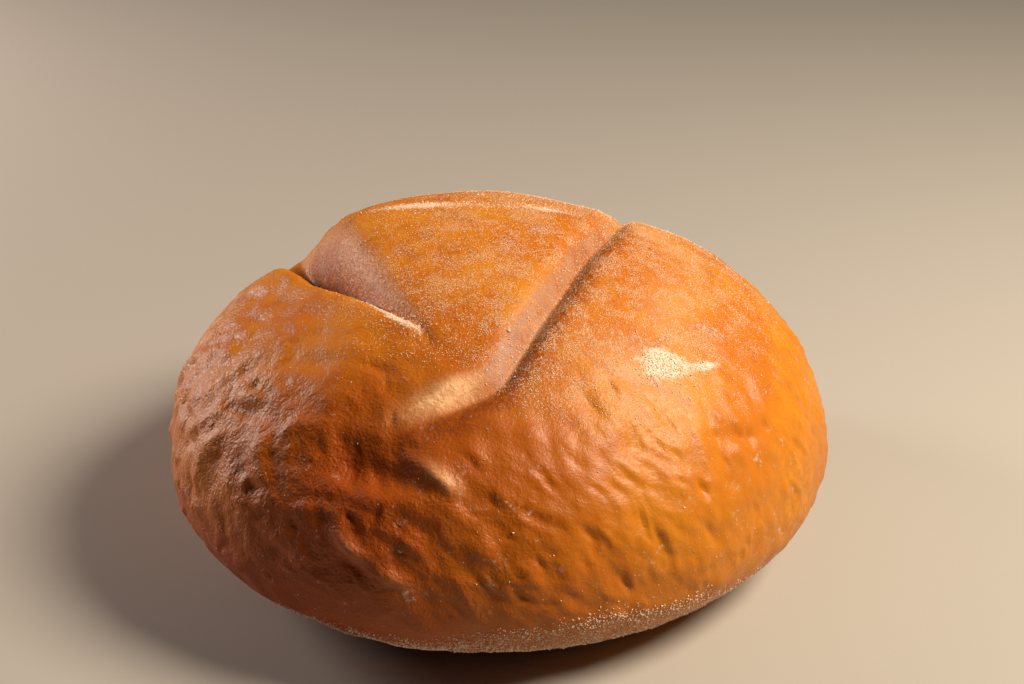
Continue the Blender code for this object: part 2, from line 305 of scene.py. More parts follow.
class BouleForm(bpy.types.PropertyGroup):
    """The loaf's driving sizes."""

    width: FloatProperty(
        name="Width", description="Across the widest ring, left to right",
        default=0.1995, unit="LENGTH",
    )
    depth: FloatProperty(
        name="Depth", description="Across the widest ring, front to back",
        default=0.1986, unit="LENGTH",
    )
    height: FloatProperty(
        name="Height", description="Top of the plain dome above its foot", default=0.0948, unit="LENGTH"
    )
    waist: FloatProperty(
        name="Waist", description="Height of the widest ring", default=0.0295, unit="LENGTH"
    )
    lumps: FloatProperty(
        name="Lumps", description="Height of the broad unevenness", default=0.0005, unit="LENGTH"
    )
    pads: IntProperty(name="Pads", description="Number of raised and sunk pads", default=6000)
    pad_height: FloatProperty(
        name="Pad height", description="Usual height of the pads", default=0.00016, unit="LENGTH"
    )
    groove_depth: FloatProperty(
        name="Groove depth", description="Of the grooves between pads", default=0.00014, unit="LENGTH"
    )
    dents: IntProperty(name="Dents", description="Number of short dents", default=620)
    pits: IntProperty(name="Pits", description="Number of small pits", default=520)


class BouleFinish(bpy.types.PropertyGroup):
    """The crust's colours, painted shade and painted light among them, and gloss."""

    golden: FloatVectorProperty(
        name="Golden", description="Crust where it is palest",
        subtype="COLOR", default=(0.67, 0.245, 0.010),
    )
    orange: FloatVectorProperty(
        name="Orange", description="Most of the crust",
        subtype="COLOR", default=(0.56, 0.158, 0.006),
    )
    # Brown: the crust's own dark spots, and also painted shade in the creases
    brown: FloatVectorProperty(
        name="Brown", description="Crust that is baked darkest",
        subtype="COLOR", default=(0.26, 0.052, 0.005),
    )
    # Painted shade: the darker, redder colour low down on the loaf's shaded side
    painted_shade_colour: FloatVectorProperty(
        name="Deep", description="Crust low on its redder side",
        subtype="COLOR", default=(0.30, 0.047, 0.002),
    )
    # Painted light: the brighter, more golden colour low down on the loaf's lit side
    bright: FloatVectorProperty(
        name="Bright", description="Crust low on its golden side",
        subtype="COLOR", default=(0.51, 0.185, 0.008),
    )
    # The pale film is partly flour and partly painted highlight on lit ridges and sheen
    pale: FloatVectorProperty(
        name="Pale", description="Crust with a thin, even film",
        subtype="COLOR", default=(1.0, 0.60, 0.32),
    )
    flour: FloatVectorProperty(
        name="Flour", description="Film of flour on the crust",
        subtype="COLOR", default=(0.87, 0.63, 0.45),
    )
    speck: FloatVectorProperty(
        name="Speck", description="Fine specks of flour",
        subtype="COLOR", default=(0.89, 0.59, 0.32),
    )
    semolina: FloatVectorProperty(
        name="Semolina", description="Loose grains",
        subtype="COLOR", default=(0.93, 0.80, 0.68),
    )
    gloss: FloatProperty(
        name="Roughness", description="Of the bare crust", default=0.37, min=0, max=1, subtype="FACTOR"
    )


class BouleDusting(bpy.types.PropertyGroup):
    """The grains that lie on the crust."""

    coarse: IntProperty(name="Semolina grains", description="Number of coarse grains", default=8500)
    coarse_size: FloatProperty(
        name="Semolina size", description="Usual width of a coarse grain", default=0.00040, unit="LENGTH"
    )
    fine: IntProperty(name="Flour specks", description="Number of fine specks", default=24000)
    fine_size: FloatProperty(
        name="Speck size", description="Usual width of a fine speck", default=0.00024, unit="LENGTH"
    )


class BouleStage(bpy.types.PropertyGroup):
    """The floor and the lights."""

    floor: FloatVectorProperty(
        name="Floor", description="Colour of the floor",
        subtype="COLOR", default=(0.47, 0.46, 0.44),
    )
    key: FloatProperty(
        name="Key light", description="Power of the key light", default=10.3, unit="POWER"
    )
    fill: FloatProperty(
        name="Fill light", description="Power of the fill light", default=6.6, unit="POWER"
    )


def soft_floor(z):
    """z above FOOT_ROUNDING, 0 below its negative, and a parabola between the two."""
    k = FOOT_ROUNDING
    return np.where(z > k, z, np.where(z < -k, 0, (z + k) ** 2 / (4 * k)))


def dome(form, turn, fall):
    """The plain dome's points at turn and fall, in radians: a superellipse turned about +Z."""
    s, c = np.sin(fall), np.cos(fall)
    above = c >= 0
    fullness = np.where(above, CROWN_FULLNESS, BELLY_FULLNESS)
    out = np.abs(s) ** (2 / fullness) * (1 + SKEW * np.sin(2 * turn))
    crown = (form.height - form.waist) * np.abs(c) ** (2 / CROWN_FULLNESS)
    belly = -form.waist * UNDERCUT * np.abs(c) ** (2 / BELLY_FULLNESS)
    z = form.waist + np.where(above, crown, belly)
    x = out * form.width / 2 * np.cos(turn) + LEAN * np.clip(z, 0, None)
    y = out * form.depth / 2 * np.sin(turn)
    return np.stack([x, y, z], axis=-1)


def outward(form, turn, fall):
    """The dome's unit normals, from the cross product of its two tangents."""
    step, least = 1e-3, 1e-12
    down = dome(form, turn, fall + step) - dome(form, turn, fall - step)
    round_z = dome(form, turn + step, fall) - dome(form, turn - step, fall)
    normal = np.cross(down, round_z)
    length = np.linalg.norm(normal, axis=-1, keepdims=True)
    pole = np.stack([0 * turn, 0 * turn, np.sign(np.cos(fall))], axis=-1)
    return np.where(length > least, normal / np.maximum(length, least), pole)


def on_dome(form, places):
    """Points on the dome at (turn, fall) in degrees."""
    turn, fall = np.radians(np.array(places, float)).T
    return dome(form, turn, fall)


def smooth_route(points, pieces=8):
    """A Catmull-Rom curve through the points, each span cut into the given number of pieces."""
    p = np.vstack([2 * points[0] - points[1], points, 2 * points[-1] - points[-2]])
    t = np.linspace(0, 1, pieces, endpoint=False)[:, None]
    spans = [
        0.5 * (2 * b + (c - a) * t + (2 * a - 5 * b + 4 * c - d) * t**2 + (3 * b - 3 * c + d - a) * t**3)
        for a, b, c, d in zip(p, p[1:], p[2:], p[3:])
    ]
    return np.vstack(spans + [points[-1:]])


def along_route(points, normals, route):
    """For each point: its distance from the route, below 0 to the left of it, and how far along it is."""
    nearest = np.full(len(points), np.inf)
    side = np.ones(len(points))
    share = np.zeros(len(points))
    run = np.r_[0, np.cumsum(np.linalg.norm(np.diff(route, axis=0), axis=1))]
    for start, end, begun, ended in zip(route, route[1:], run, run[1:]):
        ahead = (end - start) / (ended - begun)
        reached = np.clip((points - start) @ ahead, 0, ended - begun)
        away = points - start - reached[:, None] * ahead
        distance = np.linalg.norm(away, axis=1)
        nearer = distance < nearest
        nearest = np.where(nearer, distance, nearest)
        leftward = (np.cross(ahead, away) * normals).sum(axis=1) > 0
        side = np.where(nearer, np.where(leftward, -1, 1), side)
        share = np.where(nearer, (begun + reached) / run[-1], share)
    return nearest * side, share


def wall(distance, width, shape):
    """1 at the bottom of a crease, 0 at its lip: 1 - (1 - q**a)**b, where q falls from 1 to 0."""
    a, b = shape
    q = np.clip(1 - distance / width, 0, 1)
    return 1 - (1 - q**a) ** b


def crease(form, points, normals, route, tongue_side, share, depth, slope_width, wall_width):
    """How deep the crease is at each point, its offset towards the tongue, and how far along it is."""
    offset, along = along_route(points, normals, smooth_route(on_dome(form, route)))
    away = np.hypot(offset, MM * CREASE_ROUNDING) - MM * CREASE_ROUNDING
    slope = wall(away, MM * np.interp(along, share, slope_width), SLOPE_SHAPE)
    steep = wall(away, MM * np.interp(along, share, wall_width), WALL_SHAPE)
    cut = MM * np.interp(along, share, depth) * np.where(offset * tongue_side > 0, slope, steep)
    return cut, offset * tongue_side, along


def stroke(form, points, start, end, half_width):
    """An oblong bump, 1 at its middle: exp(-(across / half_width)**2 - (along / half_length)**2)."""
    a, b = on_dome(form, (start, end))
    half_length = np.linalg.norm(b - a) / 2
    away = points - (a + b) / 2
    along = away @ (b - a) / (2 * half_length)
    across = np.sqrt(np.clip((away**2).sum(axis=1) - along**2, 0, None))
    return np.exp(-((across / (MM * half_width)) ** 2) - (along / half_length) ** 2)


def fade(low, high, value):
    """0 below low, 1 above high and smooth between: 3 t**2 - 2 t**3."""
    t = np.clip((value - low) / (high - low), 0, 1)
    return t * t * (3 - 2 * t)


def between(limits, share):
    """The value at that share of the way from the least to the most."""
    return limits[0] + (limits[1] - limits[0]) * share


def waves(points, length, count, rng):
    """Smooth noise of about -1 to 1: a sum of cosine waves of random direction and phase."""
    direction = rng.normal(size=(count, 3))
    direction /= np.linalg.norm(direction, axis=1, keepdims=True)
    rate = 2 * math.pi / (length * rng.uniform(*WAVE_SPREAD, count))
    phase = rng.uniform(0, 2 * math.pi, count)
    total = np.zeros(len(points))
    for way, k, start in zip(direction, rate, phase):
        total += np.cos(k * (points @ way) + start)
    return total * math.sqrt(2 / count) / WAVE_PEAK


def grid_angles():
    """turn and fall of the grid's points, in radians: a pole, RINGS - 1 rings of TURNS points, a pole.

    Rings stand evenly along the section down to the foot and wider apart under it: their fall is a
    half turn times EVEN_RINGS s + FOOT_RINGS s**FOOT_POWER. Columns start at the back, and
    turn = u + FRONT_CLOSER sin(u - a quarter turn) draws them together at the front.
    """
    section = np.linspace(0, 1, RINGS + 1)[1:-1]
    fall = np.pi * (EVEN_RINGS * section + FOOT_RINGS * section**FOOT_POWER)
    even = np.pi / 2 + 2 * np.pi * np.arange(TURNS) / TURNS
    turn = even + FRONT_CLOSER * np.sin(even - np.pi / 2)
    fall, turn = np.meshgrid(fall, turn, indexing="ij")
    return turn, fall


def with_poles(points):
    """The rings' points as one list, with the crown's pole first and the foot's pole last."""
    crown = points[0].mean(axis=0)
    foot = points[-1].mean(axis=0)
    return np.vstack([crown, points.reshape(-1, 3), foot])


def grid_faces():
    """Quads between the rings and a fan of triangles at each pole, wound to face outwards."""
    ring = 1 + np.arange((RINGS - 1) * TURNS).reshape(RINGS - 1, TURNS)
    after = np.roll(ring, -1, axis=1)
    quads = np.stack([ring[:-1], ring[1:], after[1:], after[:-1]], axis=-1).reshape(-1, 4)
    crown = np.stack([np.zeros(TURNS, int), ring[0], after[0]], axis=-1)
    foot = np.stack([np.full(TURNS, ring[-1, -1] + 1), after[-1], ring[-1]], axis=-1)
    return quads, np.vstack([crown, foot])


class Surface:
    """The grid's points and normals, and how far apart its rings and columns stand at each point."""

    def __init__(self, points, normals):
        self.points, self.normals = points, normals
        self.ring_step = np.linalg.norm(np.gradient(points, axis=0), axis=-1)
        self.column_step = np.linalg.norm(np.roll(points, -1, axis=1) - points, axis=-1)

    def strew(self, likely, count, rng):
        """Ring and column of count points, drawn by the area they stand for times likely."""
        chance = (self.ring_step * self.column_step * likely).ravel()
        drawn = rng.choice(chance.size, size=count, p=chance / chance.sum())
        return np.unravel_index(drawn, likely.shape)

    def wrinkle_way(self, i, j, turned):
        """The direction of the wrinkles at a point, by its turn, and turned by that many spreads."""
        out = self.normals[i, j]
        round_z = np.array((-self.points[i, j, 1], self.points[i, j, 0], 0))
        round_z -= out * (round_z @ out)
        round_z /= np.linalg.norm(round_z)
        degrees = math.degrees(math.atan2(self.points[i, j, 1], self.points[i, j, 0]))
        turned *= np.interp(degrees, WRINKLE_TURN, WRINKLE_SPREAD)
        angle = math.radians(np.interp(degrees, WRINKLE_TURN, WRINKLE_ANGLE) + turned)
        return round_z * math.cos(angle) + np.cross(round_z, out) * math.sin(angle)

    def mark(self, rise, i, j, way, half_length, half_width, height, lip=0):
        """Adds one oblong mark to rise, inside a window of the grid.

        With b along it and a across it, as shares of its half sizes: height times
        exp(-a**2 - b**2), less lip times the same bump shifted sideways, so that a dent has a rim.
        It fades through the crust too, so that it doesn't reach across a crease.
        """
        reach = MARK_REACH * half_length + half_width
        up = int(reach / self.ring_step[i, j]) + 1
        sideways = min(int(reach / self.column_step[i, j]) + 1, TURNS // 2 - 1)
        rows = slice(max(i - up, 0), min(i + up + 1, RINGS - 1))
        columns = np.arange(j - sideways, j + sideways + 1) % TURNS
        out = self.normals[i, j]
        away = self.points[rows, columns] - self.points[i, j]
        b = away @ (way / half_length)
        a = away @ (np.cross(out, way) / half_width)
        near = height * np.exp(-(b**2) - (away @ (out / (MARK_THICKNESS * half_width))) ** 2)
        bump = np.exp(-(a**2))
        if lip:
            bump -= lip * np.exp(-((a - LIP_SHIFT) ** 2))
        rise[rows, columns] += near * bump


def pads(surface, likely, count, rng):
    """Wrinkled noise of about unit spread: oblong bumps of either sign, laid along the wrinkles."""
    rise = np.zeros(likely.shape)
    for i, j in zip(*surface.strew(likely, count, rng)):
        turned, sign = rng.normal(), rng.choice((-1, 1))
        way = surface.wrinkle_way(i, j, turned)
        length = between(PAD_LENGTH, rng.uniform() ** 2)
        width = between(PAD_WIDTH, rng.uniform() ** 2)
        surface.mark(rise, i, j, way, MM * length, MM * width, sign)
    return rise / rise[likely > WRINKLED_PART].std()


def dents(surface, likely, count, sizes, lip, rng):
    """Single dents laid along the wrinkles, of random length, width and depth between the sizes."""
    rise = np.zeros(likely.shape)
    for i, j in zip(*surface.strew(likely, count, rng)):
        way = surface.wrinkle_way(i, j, rng.normal())
        length, width, depth = map(between, sizes, rng.uniform(size=3) ** 2)
        surface.mark(rise, i, j, way, MM * length, MM * width, -MM * depth, lip)
    return rise


def facing(turn, towards):
    """The cosine of the angle between turn and the turn towards, and 0 past a quarter turn."""
    return np.clip(np.cos(turn - towards), 0, 1)


def strongest(form, points, marks):
    """Of the marks' strokes at each point, each times its strength, the strongest."""
    most = np.zeros(len(points))
    for start, end, half_width, strength in marks:
        most = np.maximum(most, strength * stroke(form, points, start, end, half_width))
    return most


class LargeForms:
    """The dome's points on the grid, as a list, and how far its large forms move each.

    rise is the sum of the swells, height times exp(-(distance / reach)**2), less the deeper of the
    two creases, with the strokes added.
    """

    def __init__(self, form):
        turn, fall = grid_angles()
        self.grid = turn.shape
        self.turn, self.fall = turn.ravel(), fall.ravel()
        self.turn_degrees = np.degrees(self.turn + np.pi) % 360 - 180
        self.fall_degrees = np.degrees(self.fall)
        self.base = base = dome(form, self.turn, self.fall)
        self.normals = normals = outward(form, self.turn, self.fall)
        self.rise = np.zeros(len(base))
        for place, reach, height in SWELLS:
            r = np.linalg.norm(base - on_dome(form, (place,)), axis=1)
            self.rise += MM * height * np.exp(-((r / (MM * reach)) ** 2))
        self.left, self.left_offset, _ = crease(
            form, base, normals, LEFT_CREASE, -1, LEFT_SHARE, LEFT_DEPTH, LEFT_SLOPE, LEFT_WALL
        )
        self.right, self.right_offset, self.right_along = crease(
            form, base, normals, RIGHT_CREASE, 1, RIGHT_SHARE, RIGHT_DEPTH, RIGHT_SLOPE, RIGHT_WALL
        )
        self.rise -= np.maximum(self.left, self.right)
        for start, end, half_width, height in STROKES:
            self.rise += MM * height * stroke(form, base, start, end, half_width)

    def moved(self, rise):
        """The points on the grid, each moved by rise along its normal."""
        return (self.base + rise[:, None] * self.normals).reshape(self.grid + (3,))


def fine_relief(form, large, wrinkled, leather, patchy, rise, rng):
    """Wrinkled pads with grooves between them, dents and pits, on the grid.

    A groove is exp(-(noise / GROOVE_SHARE)**2), so it runs where pads of both signs meet.
    """
    surface = Surface(large.moved(rise), large.normals.reshape(large.grid + (3,)))
    wrinkled, leather, patchy, fall, left = (
        values.reshape(large.grid) for values in (wrinkled, leather, patchy, large.fall, large.left)
    )
    likely = between(MARKS_BY_WRINKLES, wrinkled) * (fall < MARKED_FALL)
    coarser = between(PADS_BY_LEATHER, leather)
    fine = form.pad_height * pads(surface, likely, form.pads, rng) * wrinkled * coarser
    groove = np.exp(-((pads(surface, likely, form.pads, rng) / GROOVE_SHARE) ** 2))
    fine -= form.groove_depth * groove * wrinkled * between(GROOVES_BY_PATCH, patchy)
    dented = likely * between(DENTS_BY_PATCH, patchy)
    fine += dents(surface, dented, form.dents, DENT_SIZES, DENT_LIP, rng)
    pitted = np.maximum(likely, PITTED_MORE * fade(*PITTED_DEPTH, left))
    fine += dents(surface, pitted, form.pits, PIT_SIZES, PIT_LIP, rng)
    return fine


def crust_masks(form, large, rim_from):
    """How floury, filmed or patched the crust is at each point, from 0 to 1, and where painted shade
    lies, in the creases and low down on one side, and painted light, low down on the other side and
    as highlights in the film.

    A mask is a product of smooth steps in fall, in turn or in distance from a crease, and where two
    of them meet the stronger one counts.
    """
    base, turn, fall = large.base, large.turn, large.fall_degrees
    along = large.right_along
    slope_left = np.where(large.left_offset > 0, *LEFT_FLOUR) * fade(0, LEFT_FLOUR_DEPTH, large.left)
    band_width = MM * np.interp(along, BAND_SHARE, BAND_WIDTH)
    band = fade(-BAND_WALL_EDGE, BAND_WALL_EDGE, large.right_offset)
    band *= 1 - fade(0, BAND_SLOPE_EDGE, large.right_offset - band_width)
    band *= fade(*BAND_BEGINS, along) * (1 - fade(*BAND_ENDS, along))
    # Painted shade: a browner stripe beside the right crease's wall, and under its flour band
    painted_crease_shade = np.exp(-(((large.right_offset / MM + CREASE_SHADE_AWAY) / CREASE_SHADE_WIDTH) ** 2))
    painted_crease_shade = np.maximum(painted_crease_shade * fade(*CREASE_SHADE_BEGINS, along), band)
    flour_to = np.interp(large.turn_degrees, FLOUR_TURN, FLOUR_FALL)
    to_dusted = base[:, 0] * math.cos(DUSTED_TURN) + base[:, 1] * math.sin(DUSTED_TURN)
    dusted = fade(*DUSTED_FROM, to_dusted) * (1 - fade(*FLOUR_THINS, fall - flour_to))
    # Painted shade: darker and redder low down on one side, weaker on the flank
    shaded = fade(*PAINTED_SHADE_FALL, fall) * facing(turn, PAINTED_SHADE_TURN) ** 2
    flank = fade(*FLANK_NEAR, np.cos(turn - LEATHER_TURN)) * (1 - fade(*FLANK_ENDS, fall))
    return {
        "flour": np.maximum(slope_left, BAND_FLOUR * band),
        # The film is partly flour and partly painted highlight on lit ridges and sheen
        "film": np.minimum(strongest(form, base, FILM_AND_HIGHLIGHTS), 1),
        "patch": strongest(form, base, PATCHED),
        "rim": fade(*RIM_GROWS, fall - rim_from) * (1 - fade(*RIM_ENDS, fall)),
        # Painted shade low down on one side
        "shaded": shaded * between((1, PAINTED_SHADE_ON_FLANK), flank),
        # Painted light: brighter and more golden low down on the lit side
        "golden": fade(*PAINTED_LIGHT_FALL, fall) * facing(turn, PAINTED_LIGHT_TURN) ** 2,
        # Painted shade in the two creases
        "painted_crease_shade": np.maximum(painted_crease_shade, fade(0, LEFT_SHADE_DEPTH, large.left)),
        "dusted": dusted * between((1, DUSTED_IN_BAND), band),
        "front": between(RIM_BEHIND, facing(turn, RIM_MIDDLE) ** 4),
    }


def crust_shape(form):
    """The crust's points and masks, each on the grid.

    The dome is moved along its normals by its large forms, then by lumps, wrinkles, dents and pits,
    all of them faded out near the foot, and set on its flat foot.
    """
    rng = np.random.default_rng(SEED)
    large = LargeForms(form)
    base, fall = large.base, large.fall_degrees
    rim_from = np.interp(large.turn_degrees, RIM_TURN, RIM_FALL)
    rim_from += RIM_RAGGED * waves(base, *RIM_WAVES, rng)
    past_edge = fall - np.interp(large.turn_degrees, SMOOTH_TURN, SMOOTH_FALL)
    past_edge += EDGE_RAGGED * waves(base, *EDGE_WAVES, rng)
    in_crease = np.clip(np.maximum(large.left, large.right) / CREASED_FROM, 0, 1)
    wrinkled = fade(*WRINKLES_GROW, past_edge) * between((1, IN_CREASE), in_crease)
    wrinkled *= between((1, UNDER_BELLY), fade(*BELLY_ENDS, fall))
    leather = between(LEATHER, fade(*LEATHER_NEAR, np.cos(large.turn - LEATHER_TURN)))

    lumps = waves(base, *LUMP_WAVES, rng) * between(LUMPS_BY_WRINKLES, wrinkled)
    lumps += SMALL_LUMPS * waves(base, *SMALL_LUMP_WAVES, rng) * fade(*LUMPS_GROW, past_edge)
    rise = large.rise + form.lumps * lumps * between(LUMPS_BY_LEATHER, leather)
    patchy = fade(*PATCHY, waves(base, *PATCHY_WAVES, rng))
    rise = rise + fine_relief(form, large, wrinkled, leather, patchy, rise, rng).ravel()
    points = large.moved(rise * fade(RELIEF_STARTS, RELIEF_FULL, base[:, 2]))
    points[..., 0] -= CENTRE_X
    points[..., 2] = soft_floor(points[..., 2])

    masks = crust_masks(form, large, rim_from) | {"wrinkled": wrinkled, "leather": leather}
    return points, {name: mask.reshape(large.grid) for name, mask in masks.items()}


def mesh_object(name, points, quads, triangles, material):
    """A mesh object at the origin, on the root body, from arrays of points and faces."""
    mesh = bpy.data.meshes.new(name)
    sides = np.r_[np.full(len(quads), 4), np.full(len(triangles), 3)]
    corners = np.r_[quads.ravel(), triangles.ravel()]
    mesh.vertices.add(len(points))
    mesh.vertices.foreach_set("co", np.ascontiguousarray(points, np.float32).ravel())
    mesh.loops.add(len(corners))
    mesh.loops.foreach_set("vertex_index", corners.astype(np.int32))
    mesh.polygons.add(len(sides))
    mesh.polygons.foreach_set("loop_start", np.r_[0, np.cumsum(sides)[:-1]].astype(np.int32))
    mesh.update(calc_edges=True)
    mesh.validate()
    mesh.materials.append(material)
    made = bpy.data.objects.new(name, mesh)
    bpy.context.scene.collection.objects.link(made)
    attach(made, "root")
    return made


class Nodes:
    """A short way to add nodes to a material and to link them."""

    def __init__(self, material):
        material.use_nodes = True
        self.tree = material.node_tree
        self.shader = self.tree.nodes["Principled BSDF"]
        self.object = self.tree.nodes.new("ShaderNodeTexCoord").outputs["Object"]

    def plug(self, socket, value):
        if isinstance(value, bpy.types.NodeSocket):
            self.tree.links.new(value, socket)
        else:
            socket.default_value = value

    def noise(self, scale, detail, roughness):
        """Noise on Object coordinates, scale in cycles a metre."""
        node = self.tree.nodes.new("ShaderNodeTexNoise")
        self.plug(node.inputs["Vector"], self.object)
        node.inputs["Scale"].default_value = scale
        node.inputs["Detail"].default_value = detail
        node.inputs["Roughness"].default_value = roughness
        return node.outputs["Fac"]

    def attribute(self, name):
        node = self.tree.nodes.new("ShaderNodeAttribute")
        node.attribute_name = name
        return node.outputs["Fac"]

    def math(self, operation, a, b=0.0, clamp=False):
        node = self.tree.nodes.new("ShaderNodeMath")
        node.operation = operation
        node.use_clamp = clamp
        self.plug(node.inputs[0], a)
        self.plug(node.inputs[1], b)
        return node.outputs["Value"]

    def add(self, a, b):
        return self.math("ADD", a, b)

    def times(self, a, b):
        return self.math("MULTIPLY", a, b)

    def specks(self, scale, share):
        """1 in round specks, scale of them a metre, that fill about the given share of the cells."""
        cells = self.tree.nodes.new("ShaderNodeTexVoronoi")
        self.plug(cells.inputs["Vector"], self.object)
        cells.inputs["Scale"].default_value = scale
        draw = self.tree.nodes.new("ShaderNodeSeparateColor")
        self.plug(draw.inputs["Color"], cells.outputs["Color"])
        drawn = self.step(self.math("SUBTRACT", share, draw.outputs["Red"]), *DRAWN_STEP)
        return self.times(drawn, self.step(cells.outputs["Distance"], *SPECK_STEP))

    def step(self, value, low, high, out_low=0.0, out_high=1.0):
        """Smooth step of value between low and high."""
        node = self.tree.nodes.new("ShaderNodeMapRange")
        node.interpolation_type = "SMOOTHSTEP"
        self.plug(node.inputs["Value"], value)
        node.inputs["From Min"].default_value = low
        node.inputs["From Max"].default_value = high
        node.inputs["To Min"].default_value = out_low
        node.inputs["To Max"].default_value = out_high
        return node.outputs["Result"]

    def mix(self, share, a, b):
        """Colour a where share is 0 and colour b where it is 1."""
        node = self.tree.nodes.new("ShaderNodeMix")
        node.data_type = "RGBA"
        self.plug(node.inputs["Factor"], share)
        self.plug(node.inputs["A"], a)
        self.plug(node.inputs["B"], b)
        return node.outputs["Result"]

    def bump(self, height, distance, below=None):
        node = self.tree.nodes.new("ShaderNodeBump")
        node.inputs["Distance"].default_value = distance
        self.plug(node.inputs["Height"], height)
        if below:
            self.plug(node.inputs["Normal"], below)
        return node.outputs["Normal"]


def opaque(colour):
    """The colour with an alpha of 1."""
    return (*colour, 1.0)


def crust_material(finish):
    """Golden to brown crust with a satin sheen and fine grain, with flour, painted shade and painted
    light where the masks say.
    """
    material = bpy.data.materials.new("browned_crust")
    n = Nodes(material)
    broad, middle, small, tiny, skin = (n.noise(*kind) for kind in (BROAD, MIDDLE, SMALL, TINY, SKIN))
    ragged = n.add(n.times(small, SMALL_SHARE), n.times(middle, 1 - SMALL_SHARE))

    tone = n.add(n.times(broad, BROAD_SHARE), n.times(middle, 1 - BROAD_SHARE))
    colour = n.mix(n.step(tone, *TONE_STEP), opaque(finish.golden), opaque(finish.orange))
    dark = n.add(n.step(middle, *SPOT_STEP), n.step(small, *DARK_STEP))
    colour = n.mix(dark, colour, opaque(finish.brown))
    # Painted shade: darker and redder low down on one side
    colour = n.mix(n.times(n.attribute("shaded"), PAINTED_SHADE_SHARE), colour, opaque(finish.painted_shade_colour))
    # Painted light low down on the lit side, a pale film that is partly painted highlight, and painted
    # shade in the creases
    for mask, mottle, limits, tint in (
        ("golden", ragged, PAINTED_LIGHT_STEP, finish.bright),
        ("film", ragged, FILM_HIGHLIGHT_STEP, finish.pale),
        ("painted_crease_shade", small, CREASE_SHADE_STEP, finish.brown),
    ):
        share = n.times(n.attribute(mask), n.step(mottle, *limits))
        colour = n.mix(share, colour, opaque(tint))

    patch = n.step(n.add(n.attribute("patch"), n.times(ragged, PATCH_RAGGED)), *PATCH_STEP)
    film = n.times(n.attribute("flour"), n.step(ragged, *FILM_STEP))
    clumps = n.step(n.noise(*CLUMPS), *CLUMP_STEP)
    strewn = n.times(n.times(n.attribute("dusted"), DUSTED_SHARE), clumps)
    strewn = n.math("MAXIMUM", strewn, n.math("MAXIMUM", n.times(film, SPECKS_IN_FILM), patch))
    specks = n.specks(SPECKS_A_METRE, strewn)
    flour = n.math("MAXIMUM", n.times(film, FILM_COVER), specks, clamp=True)
    colour = n.mix(flour, colour, opaque(finish.flour))
    colour = n.mix(n.times(patch, PATCH_COVER), colour, opaque(finish.semolina))
    n.plug(n.shader.inputs["Base Color"], colour)

    least, most = (finish.gloss + more for more in ROUGH_SPREAD)
    rough = n.step(small, *ROUGH_STEP, least, most)
    rough = n.add(n.times(flour, FLOUR_ROUGHER), rough)
    rough = n.add(n.times(n.attribute("leather"), LEATHER_ROUGHER), rough)
    n.plug(n.shader.inputs["Roughness"], rough)
    n.shader.inputs["Metallic"].default_value = 0
    n.shader.inputs["IOR"].default_value = CRUST_IOR

    crackle = n.math("ABSOLUTE", n.math("SUBTRACT", n.noise(*CRACKLED), NOISE_MIDDLE))
    crackle = n.times(crackle, n.add(n.attribute("wrinkled"), CRACKLE_ON_CROWN))
    crackle = n.times(crackle, n.attribute("leather"))
    grainy = n.add(n.attribute("leather"), n.times(n.attribute("dusted"), ROUGHENED_IF_DUSTED))
    surface = n.bump(crackle, CRACKLE_HEIGHT)
    surface = n.bump(n.times(small, grainy), SMALL_HEIGHT, surface)
    surface = n.bump(n.times(skin, grainy), SKIN_HEIGHT, surface)
    surface = n.bump(tiny, TINY_HEIGHT, surface)
    surface = n.bump(specks, SPECK_HEIGHT, surface)
    n.plug(n.shader.inputs["Normal"], surface)
    return material


def grain_material(name, pale, dark):
    """Grains between two colours."""
    material = bpy.data.materials.new(name)
    n = Nodes(material)
    colour = n.mix(n.step(n.noise(*MOTTLED), *MOTTLED_STEP), opaque(pale), opaque(dark))
    n.plug(n.shader.inputs["Base Color"], colour)
    n.shader.inputs["Roughness"].default_value = GRAIN_ROUGHNESS
    return material


def random_turns(count, rng):
    """Rotation matrices from random unit quaternions w + x i + y j + z k."""
    quaternion = rng.normal(size=(count, 4))
    quaternion /= np.linalg.norm(quaternion, axis=1, keepdims=True)
    w, x, y, z = quaternion.T
    rows = (
        (1 - 2 * (y * y + z * z), 2 * (x * y - z * w), 2 * (x * z + y * w)),
        (2 * (x * y + z * w), 1 - 2 * (x * x + z * z), 2 * (y * z - x * w)),
        (2 * (x * z - y * w), 2 * (y * z + x * w), 1 - 2 * (x * x + y * y)),
    )
    return np.stack([np.stack(row, axis=1) for row in rows], axis=1)


